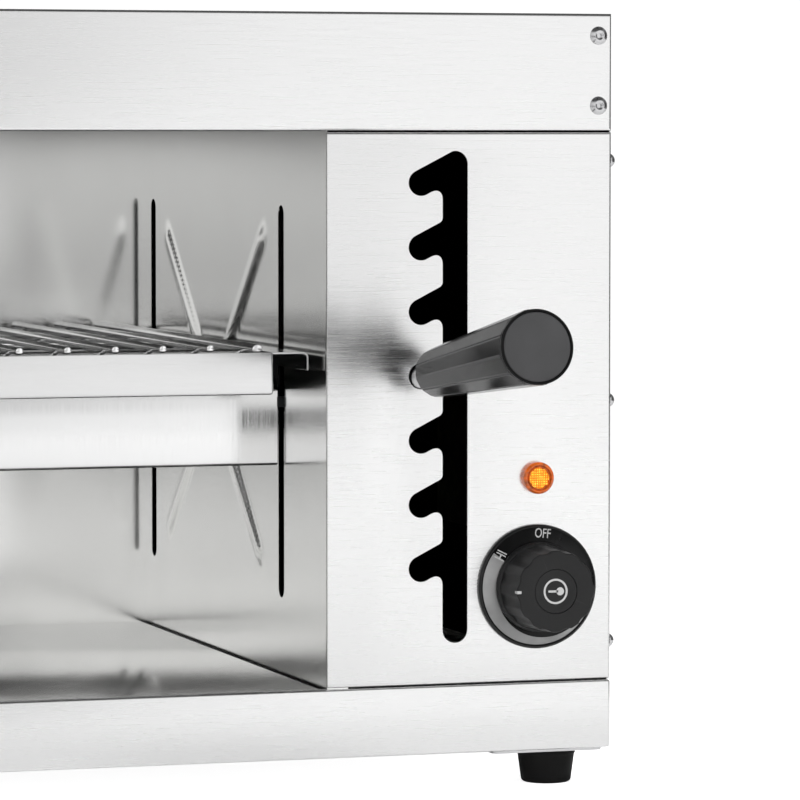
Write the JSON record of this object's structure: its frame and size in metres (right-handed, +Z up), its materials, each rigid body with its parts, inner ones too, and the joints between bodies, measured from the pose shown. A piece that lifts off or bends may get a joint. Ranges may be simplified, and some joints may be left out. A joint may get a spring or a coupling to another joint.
{
  "type": "salamander grill",
  "caption": "Countertop salamander grill: open sheet-metal cavity under a heated hood, with a lifting rack, side handle in a notched slot, dial and lamp.",
  "frame": {"origin": "centre of the overall bounding box in plan, on the plane the feet stand on", "axes": "+X to the user's right along the width, +Y to the back, the open front and the handle face -Y, +Z up"},
  "size_m": [0.6474, 0.6032, 0.4233],
  "materials": {
    "stainless_shell": "horizontal brushed stainless steel",
    "stainless_inner": "satin stainless steel sheet",
    "galvanised_base": "plain zinc-coated steel sheet",
    "fastener_steel": "bright steel",
    "rack_steel": "vertical brushed stainless steel",
    "tray_steel": "bright brushed stainless steel",
    "grid_chrome": "bright plated wire",
    "rod_steel": "turned steel bar",
    "bearing_brass": "machined brass",
    "grip_black": "glossy black thermoset",
    "grip_cap_grey": "fine matt charcoal",
    "knob_black": "semi-gloss black thermoset",
    "bezel_black": "satin black moulding with printed scale",
    "mark_white": "white inlay",
    "lamp_amber": "amber lens",
    "regulator_beige": "moulded thermoset",
    "ceramic_white": "glazed ceramic",
    "element_sheath": "heat-darkened sheath",
    "reflector_steel": "aluminised sheet",
    "insulation_fibre": "mineral fibre",
    "foot_rubber": "matt black rubber",
    "gland_plastic": "black moulding"
  },
  "bodies": {
    "housing": {"hood": "stainless_shell", "right_side_cover": "stainless_shell", "left_side_cover": "stainless_shell", "control_panel": "stainless_shell", "left_front_post": "stainless_shell", "base_plinth": "stainless_shell", "rear_panel": "galvanised_base", "right_inner_wall": "stainless_inner", "left_inner_wall": "stainless_inner", "cavity_rear_wall": "stainless_inner", "cavity_floor": "stainless_inner", "fascia_rivets": "fastener_steel", "side_screws": "fastener_steel", "rear_screws": "fastener_steel", "heat_reflector": "reflector_steel", "insulation_blanket": "insulation_fibre", "heating_element_front": "element_sheath", "heating_element_middle": "element_sheath", "heating_element_rear": "element_sheath", "element_hangers": "stainless_inner", "element_ferrules": "fastener_steel", "element_terminals": "ceramic_white", "thermal_cutout": "fastener_steel", "terminal_block": "ceramic_white", "terminal_screws": "fastener_steel", "cable_gland": "gland_plastic", "gland_nut": "gland_plastic", "energy_regulator": "regulator_beige", "regulator_screws": "fastener_steel", "knob_bezel": "bezel_black", "pilot_lamp_lens": "lamp_amber", "pilot_lamp_body": "gland_plastic", "guide_rod_front": "rod_steel", "guide_rod_rear": "rod_steel", "guide_bracket_lower": "galvanised_base", "guide_bracket_upper": "galvanised_base", "foot_plates": "fastener_steel", "foot_bolts": "fastener_steel", "foot_front_left": "foot_rubber", "foot_front_right": "foot_rubber", "foot_rear_left": "foot_rubber", "foot_rear_right": "foot_rubber"},
    "knob_group": {"knob": "knob_black", "knob_cap": "knob_black", "knob_pointer": "mark_white", "regulator_shaft": "rod_steel"},
    "rack": {"rack_carrier": "rack_steel", "carriage_plate": "galvanised_base", "bearing_block_front": "bearing_brass", "bearing_block_rear": "bearing_brass", "arm_screws": "fastener_steel", "handle_bracket": "galvanised_base", "pivot_pin": "rod_steel"},
    "handle": {"handle_rod": "rod_steel", "handle_grip": "grip_black", "grip_cap": "grip_cap_grey"},
    "tray": {"drip_tray": "tray_steel"},
    "grid": {"wire_grid": "grid_chrome", "grid_legs": "grid_chrome"}
  },
  "joints": [
    {"name": "rack_lift", "type": "slide", "parent": "housing", "child": "rack", "axis": [0, 0, 1], "range_m": [-0.1047, 0.1047]},
    {"name": "handle_swing", "type": "hinge", "parent": "rack", "child": "handle", "pos_m": [0.2107, -0.00041, 0.21191], "axis": [-0.457, 0.1146, 0.8821], "range_deg": [0, 11.17]},
    {"name": "tray_slide", "type": "slide", "parent": "rack", "child": "tray", "axis": [0, -1, 0], "range_m": [0, 0.15]},
    {"name": "grid_lift", "type": "slide", "parent": "tray", "child": "grid", "axis": [0, 0, 1], "range_m": [0, 0.01]},
    {"name": "knob_turn", "type": "hinge", "parent": "housing", "child": "knob_group", "pos_m": [0.2771, -0.12541, 0.1107], "axis": [0, 1, 0], "range_deg": [-160, 90]}
  ]
}
